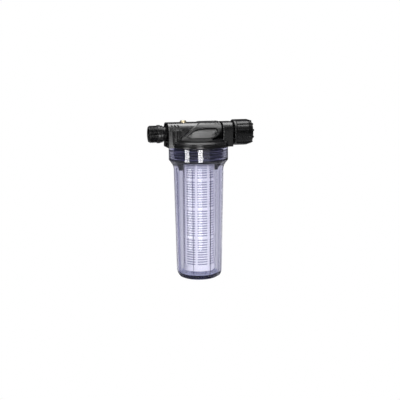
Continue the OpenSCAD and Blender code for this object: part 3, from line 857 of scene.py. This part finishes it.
def build_cartridge():
    """The slotted cartridge: cages, mesh, end caps and their gaskets."""
    build_cage()
    build_inner_frame()
    build_mesh_sleeve()
    build_cap("cartridge_cap_top", "cartridge_top_cap", top_cap_lo.z, top_cap_hi.z, 1, 12, 22)
    build_cap("cartridge_cap_bottom", "cartridge_bottom_cap", bottom_cap_lo.z, bottom_cap_hi.z,
              -1, 0, 22)
    build_cap_gasket("cartridge_gasket_top", "cartridge_top_gasket", top_gasket_lo.z,
                     top_gasket_hi.z)
    build_cap_gasket("cartridge_gasket_bottom", "cartridge_bottom_gasket", bottom_gasket_lo.z,
                     bottom_gasket_hi.z)


# ---------- materials ----------

def new_node(tree, kind, **values):
    """A new node, with values for its settings or inputs."""
    node = tree.nodes.new(kind)
    for key, value in values.items():
        if key in node.inputs:
            node.inputs[key].default_value = value
        else:
            setattr(node, key, value)
    return node


class Nodes:
    """A material's node tree, with its Principled shader at hand."""

    def __init__(self, name):
        self.material = bpy.data.materials.new(name)
        self.material.use_nodes = True
        self.tree = self.material.node_tree
        self.shader = self.tree.nodes["Principled BSDF"]
        self.output = self.tree.nodes["Material Output"]

    def add(self, kind, **values):
        return new_node(self.tree, kind, **values)

    def link(self, a, b):
        self.tree.links.new(a, b)

    def noise(self, scale, detail=3.0, roughness=0.5):
        """Noise in the piece's own space."""
        where = self.add("ShaderNodeTexCoord")
        node = self.add("ShaderNodeTexNoise", Scale=scale, Detail=detail, Roughness=roughness)
        self.link(where.outputs["Object"], node.inputs["Vector"])
        return node.outputs["Fac"]

    def ramp(self, value, low, high, low_value, high_value):
        """The value mapped from low..high to low_value..high_value."""
        node = self.add("ShaderNodeMapRange")
        for key, v in zip(("From Min", "From Max", "To Min", "To Max"),
                          (low, high, low_value, high_value)):
            node.inputs[key].default_value = v
        self.link(value, node.inputs["Value"])
        return node.outputs["Result"]

    def tint(self, value, low, high):
        """A base colour between low and high."""
        node = self.add("ShaderNodeMix", data_type="RGBA")
        node.inputs["A"].default_value = (*low, 1)
        node.inputs["B"].default_value = (*high, 1)
        self.link(value, node.inputs["Factor"])
        self.link(node.outputs["Result"], self.shader.inputs["Base Color"])

    def bump(self, value, strength, distance):
        """Fine relief on the shader's normal."""
        node = self.add("ShaderNodeBump", Strength=strength, Distance=distance)
        self.link(value, node.inputs["Height"])
        self.link(node.outputs["Normal"], self.shader.inputs["Normal"])


def moulded_plastic(name, dark, light, rough, grain, gloss=0.5):
    """Opaque moulded plastic: fine texture, faint flow marks and rubbed patches."""
    n = Nodes(name)
    n.shader.inputs["Specular IOR Level"].default_value = gloss
    n.tint(n.noise(60, 4), dark, light)
    n.link(n.ramp(n.noise(140, 5), 0.3, 0.7, rough - 0.05, rough + 0.06),
           n.shader.inputs["Roughness"])
    n.bump(n.noise(2600, 2), grain, 0.00006)
    return n.material


def head_plastic():
    """Moulded plastic whose specular level follows the gloss attribute, with its painted highlight,
    sheen and shade, and whose roughness follows the satin mark.
    """
    n = Nodes("head_plastic")
    # the gloss attribute carries painted highlight, sheen and shade into the specular level
    gloss = n.add("ShaderNodeAttribute", attribute_name="gloss")
    n.link(gloss.outputs["Fac"], n.shader.inputs["Specular IOR Level"])
    satin = n.add("ShaderNodeAttribute", attribute_name="satin")
    rough = n.add("ShaderNodeMapRange")
    n.link(satin.outputs["Fac"], rough.inputs["Value"])
    n.link(n.ramp(n.noise(140, 5), 0.3, 0.7, 0.20, 0.25), rough.inputs["To Min"])
    n.link(n.ramp(n.noise(140, 5), 0.3, 0.7, 0.30, 0.36), rough.inputs["To Max"])
    n.link(rough.outputs["Result"], n.shader.inputs["Roughness"])
    n.tint(n.noise(60, 4), (0.012, 0.012, 0.0125), (0.018, 0.018, 0.0185))
    n.bump(n.noise(2600, 2), 0.3, 0.00006)
    return n.material


def clear_plastic():
    """Clear tinted plastic: refracts, absorbs towards violet, and lets light in to the core."""
    n = Nodes("clear_bowl")
    n.tree.nodes.remove(n.shader)
    glass = n.add("ShaderNodeBsdfGlass", IOR=1.5)
    glass.inputs["Color"].default_value = (1, 1, 1, 1)
    n.link(n.ramp(n.noise(90, 4), 0.3, 0.7, 0.015, 0.05), glass.inputs["Roughness"])
    shade = n.add("ShaderNodeBsdfTransparent")
    shade.inputs["Color"].default_value = (0.93, 0.93, 0.96, 1)
    ray = n.add("ShaderNodeLightPath")
    mix = n.add("ShaderNodeMixShader")
    n.link(ray.outputs["Is Shadow Ray"], mix.inputs[0])
    n.link(glass.outputs[0], mix.inputs[1])
    n.link(shade.outputs[0], mix.inputs[2])
    n.link(mix.outputs[0], n.output.inputs["Surface"])
    body = n.add("ShaderNodeVolumeAbsorption", Density=48.0)
    body.inputs["Color"].default_value = (0.44, 0.44, 0.70, 1)
    n.link(body.outputs[0], n.output.inputs["Volume"])
    return n.material


def brass():
    """Turned brass, lightly tarnished."""
    n = Nodes("vent_brass")
    n.tint(n.noise(700, 3), (0.72, 0.60, 0.38), (0.90, 0.80, 0.58))
    n.shader.inputs["Metallic"].default_value = 1
    n.link(n.ramp(n.noise(300, 4), 0.3, 0.7, 0.2, 0.34), n.shader.inputs["Roughness"])
    n.bump(n.noise(4000, 2), 0.2, 0.00003)
    return n.material


def strainer():
    """Fine woven mesh: two sets of threads crossing."""
    n = Nodes("strainer_mesh")
    where = n.add("ShaderNodeTexCoord")
    split = n.add("ShaderNodeSeparateXYZ")
    n.link(where.outputs["Object"], split.inputs[0])
    round_it = n.add("ShaderNodeMath", operation="ARCTAN2")
    n.link(split.outputs["Y"], round_it.inputs[0])
    n.link(split.outputs["X"], round_it.inputs[1])
    weave = []
    for source, count in ((round_it.outputs[0], 260.0), (split.outputs["Z"], 8800.0)):
        times = n.add("ShaderNodeMath", operation="MULTIPLY")
        times.inputs[1].default_value = count
        n.link(source, times.inputs[0])
        wave = n.add("ShaderNodeMath", operation="SINE")
        n.link(times.outputs[0], wave.inputs[0])
        weave.append(wave.outputs[0])
    both = n.add("ShaderNodeMath", operation="MAXIMUM")
    n.link(weave[0], both.inputs[0])
    n.link(weave[1], both.inputs[1])
    n.tint(n.ramp(both.outputs[0], -0.2, 1, 0, 1), (0.14, 0.14, 0.18), (0.44, 0.44, 0.50))
    n.shader.inputs["Roughness"].default_value = 0.6
    n.bump(both.outputs[0], 0.4, 0.0001)
    return n.material


def rubber(name, dark, light):
    """Dull elastomer."""
    n = Nodes(name)
    n.tint(n.noise(500, 3), dark, light)
    n.link(n.ramp(n.noise(900, 3), 0.3, 0.7, 0.5, 0.65), n.shader.inputs["Roughness"])
    n.bump(n.noise(5000, 2), 0.15, 0.00003)
    return n.material


def paint():
    """Gives every piece and every CAD node the material of its slot."""
    finish = {
        "head_plastic": head_plastic(),
        "fitting_plastic": moulded_plastic("fitting_plastic", (0.005, 0.005, 0.0055),
                                           (0.009, 0.009, 0.0095), 0.22, 0.2, 0.2),
        "nut_plastic": moulded_plastic("nut_plastic", (0.006, 0.006, 0.0065),
                                       (0.011, 0.011, 0.0115), 0.26, 0.3, 0.3),
        "seal_rubber": rubber("seal_rubber", (0.010, 0.010, 0.010), (0.02, 0.02, 0.02)),
        "cartridge_gasket": rubber("cartridge_gasket", (0.62, 0.62, 0.63), (0.72, 0.72, 0.73)),
        "vent_brass": brass(),
        "clear_bowl": clear_plastic(),
        "cartridge_plastic": moulded_plastic("cartridge_plastic", (0.84, 0.83, 0.79),
                                             (0.90, 0.89, 0.85), 0.32, 0.15),
        "strainer_mesh": strainer(),
    }
    slots = {s["node"]: s["material_slot"] for s in frame["record"]["subparts"]}
    for piece in bpy.context.scene.objects:
        if piece.type != "MESH":
            continue
        name = piece.get("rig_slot") or slots.get(piece.get("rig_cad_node"))
        if name:
            piece.data.materials.clear()
            piece.data.materials.append(finish[name])


# ---------- stage, light and camera ----------

camera_azimuth = -13.5  # degrees, from the front towards the inlet
# cosine from the middle of the bright backdrop where it starts and where it is full
BACKDROP_EDGE = (0.35, 0.88)
BACKDROP_STRENGTH = 0.84
DIM_TINT = (0.22, 0.22, 0.37, 1)  # surroundings seen through the bowl
# painted shade: the floor glows with this duller colour under the bowl, seen only through the bowl
UNDER_BOWL_SHADE = (0.52, 0.54, 0.68, 1)  # floor seen through the bowl's base


def backdrop(tree, direction):
    """Light that comes through the bowl from a direction: white behind it, dim elsewhere."""
    toward = new_node(tree, "ShaderNodeVectorMath", operation="DOT_PRODUCT")
    a = math.radians(camera_azimuth - 5)
    toward.inputs[1].default_value = (-math.sin(a), math.cos(a), 0)
    tree.links.new(direction, toward.inputs[0])
    fade = new_node(tree, "ShaderNodeMapRange", interpolation_type="SMOOTHSTEP")
    for key, value in zip(("From Min", "From Max"), BACKDROP_EDGE):
        fade.inputs[key].default_value = value
    tree.links.new(toward.outputs["Value"], fade.inputs["Value"])
    mix = new_node(tree, "ShaderNodeMix", data_type="RGBA")
    mix.inputs["A"].default_value = DIM_TINT
    mix.inputs["B"].default_value = (*[BACKDROP_STRENGTH] * 3, 1)
    tree.links.new(fade.outputs["Result"], mix.inputs["Factor"])
    return mix.outputs["Result"]


def floor():
    """A plain pale sweep, low enough for the bowl to come down; white to the camera. To rays through
    the bowl it glows with the backdrop's light, and with a painted shade right under the bowl.
    """
    half = 4
    joints = frame["record"]["behaviour"]["joints"]
    drop = next(j["range_m"][1] for j in joints if j["name"] == "bowl_drop")
    mesh = bpy.data.meshes.new("floor")
    mesh.from_pydata([(-half, -half, 0), (half, -half, 0), (half, half, 0), (-half, half, 0)],
                     [], [(0, 1, 2, 3)])
    piece = bpy.data.objects.new("floor", mesh)
    piece.location.z = -drop - 0.002
    bpy.context.scene.collection.objects.link(piece)
    n = Nodes("floor")
    n.tint(n.noise(3, 2), (0.40, 0.40, 0.41), (0.44, 0.44, 0.45))
    n.shader.inputs["Roughness"].default_value = 0.6
    ray = n.add("ShaderNodeLightPath")
    where = n.add("ShaderNodeTexCoord")
    way = n.add("ShaderNodeVectorMath", operation="NORMALIZE")
    n.link(where.outputs["Object"], way.inputs[0])
    reach = n.add("ShaderNodeVectorMath", operation="LENGTH")
    n.link(where.outputs["Object"], reach.inputs[0])
    # painted shade under the bowl: a duller glow within about 0.1 m of the floor's middle
    shade_under_bowl = n.add("ShaderNodeMix", data_type="RGBA")
    n.link(n.ramp(reach.outputs["Value"], 0.07, 0.11, 0, 1), shade_under_bowl.inputs["Factor"])
    shade_under_bowl.inputs["A"].default_value = UNDER_BOWL_SHADE
    n.link(backdrop(n.tree, way.outputs[0]), shade_under_bowl.inputs["B"])
    colour = n.add("ShaderNodeMix", data_type="RGBA")
    n.link(ray.outputs["Is Camera Ray"], colour.inputs["Factor"])
    n.link(shade_under_bowl.outputs["Result"], colour.inputs["A"])
    colour.inputs["B"].default_value = (1, 1, 1, 1)
    white = n.add("ShaderNodeEmission", Strength=1.0)
    n.link(colour.outputs["Result"], white.inputs["Color"])
    seen = n.add("ShaderNodeMath", operation="MAXIMUM")
    n.link(ray.outputs["Is Camera Ray"], seen.inputs[0])
    n.link(ray.outputs["Is Transmission Ray"], seen.inputs[1])
    mix = n.add("ShaderNodeMixShader")
    n.link(seen.outputs[0], mix.inputs[0])
    n.link(n.shader.outputs[0], mix.inputs[1])
    n.link(white.outputs[0], mix.inputs[2])
    n.link(mix.outputs[0], n.output.inputs["Surface"])
    mesh.materials.append(n.material)


def softbox(name, azimuth, distance, low, high, width, radiance, aim_z=None, kind="full"):
    """An area light between two heights; a strip stands upright, a box with aim_z is tilted."""
    data = bpy.data.lights.new(name, "AREA")
    data.shape, data.size, data.size_y = "RECTANGLE", width, high - low
    data.energy = radiance * math.pi * width * (high - low)
    lamp = bpy.data.objects.new(name, data)
    a = math.radians(azimuth)
    middle = (low + high) / 2
    lamp.location = (distance * math.sin(a), -distance * math.cos(a), middle)
    aim = Vector((0, 0, middle if aim_z is None else aim_z))
    lamp.rotation_euler = (aim - lamp.location).to_track_quat("-Z", "Y").to_euler()
    lamp.visible_camera = False
    lamp.visible_diffuse = kind != "sheen"
    lamp.visible_glossy = kind != "fill"
    lamp.visible_transmission = kind == "full"
    bpy.context.scene.collection.objects.link(lamp)
    return lamp


def world():
    """Dim surroundings with a bright backdrop behind the bowl; pure white to the camera."""
    sky = bpy.data.worlds.new("studio")
    bpy.context.scene.world = sky
    sky.use_nodes = True
    tree = sky.node_tree
    where = new_node(tree, "ShaderNodeTexCoord")
    ray = new_node(tree, "ShaderNodeLightPath")
    colour = backdrop(tree, where.outputs["Generated"])
    dim = 0.07
    for kind, seen in (("Is Glossy Ray", dim), ("Is Diffuse Ray", dim), ("Is Camera Ray", 1)):
        mix = new_node(tree, "ShaderNodeMix", data_type="RGBA")
        tree.links.new(ray.outputs[kind], mix.inputs["Factor"])
        tree.links.new(colour, mix.inputs["A"])
        mix.inputs["B"].default_value = (seen, seen, seen, 1)
        colour = mix.outputs["Result"]
    tree.links.new(colour, tree.nodes["Background"].inputs["Color"])


def lights():
    """Two strips for the bowl's upright reflections, boxes for the head, a fill for the core."""
    for name, turn, width, mid in (("left", -39.8, 0.076, 15.5), ("right", 6.9, 0.075, 19)):
        azimuth = camera_azimuth + turn
        softbox(f"strip_{name}_low", azimuth, 0.26, 0.003, 0.187, width, 5, kind="sheen")
        softbox(f"strip_{name}_mid", azimuth, 0.26, 0.187, 0.24, width, mid, kind="sheen")
        softbox(f"strip_{name}_top", azimuth, 0.26, 0.24, 0.33, width, 0.8, kind="sheen")
    softbox("front_low", camera_azimuth + 27, 1.2, 0.08, 0.22, 0.7, 0.6, kind="sheen")
    softbox("panel_key", camera_azimuth + 5, 0.8, 0.44, 0.80, 0.24, 12.5, 0.285, "sheen")
    softbox("front_top", camera_azimuth, 0.7, 1.0, 1.5, 1.4, 1.4, 0.3)
    softbox("overhead", 180 + camera_azimuth, 0.12, 0.95, 2.05, 1.4, 6.6, 0.3)
    core = softbox("core_fill", camera_azimuth + 14, 1.4, 0.0, 0.9, 1.5, 8.2, 0.15, "fill")
    lit = bpy.data.collections.new("lit_by_core_fill")
    for piece in bpy.context.scene.objects:
        if piece.name.startswith("cartridge"):
            lit.objects.link(piece)
    core.light_linking.receiver_collection = lit


def camera():
    """The photograph's viewing angle: a little from the left and from above."""
    distance, height, pitch, turn, roll = 1.7, 0.4336, 9.37, -0.087, -0.364
    data = bpy.data.cameras.new("camera")
    data.lens, data.sensor_width = 78.8, 36
    eye = bpy.data.objects.new("camera", data)
    a = math.radians(camera_azimuth)
    eye.location = (distance * math.sin(a), -distance * math.cos(a), height)
    aim = Euler((math.radians(90 - pitch), 0, math.radians(camera_azimuth + turn))).to_matrix()
    eye.rotation_euler = (aim @ Matrix.Rotation(math.radians(roll), 3, "Z")).to_euler()
    bpy.context.scene.collection.objects.link(eye)
    bpy.context.scene.camera = eye


build_head()
build_skirt()
build_nipple()
build_tailpiece()
build_nut()
build_union_gasket()
build_vent()
build_bowl()
build_centring_ring()
build_ring_seal("inlet_seal_ring", "inlet_o_ring", "head", "X")
build_ring_seal("outlet_seal_ring", "outlet_o_ring", "head", "X")
build_ring_seal("bowl_seal_ring", "bowl_o_ring", "head", "Z")
build_ring_seal("vent_seal_ring", "vent_o_ring", "vent_seal", "Z")
build_cartridge()
paint()
floor()
world()
lights()
camera()
bpy.context.scene.view_settings.view_transform = "Standard"
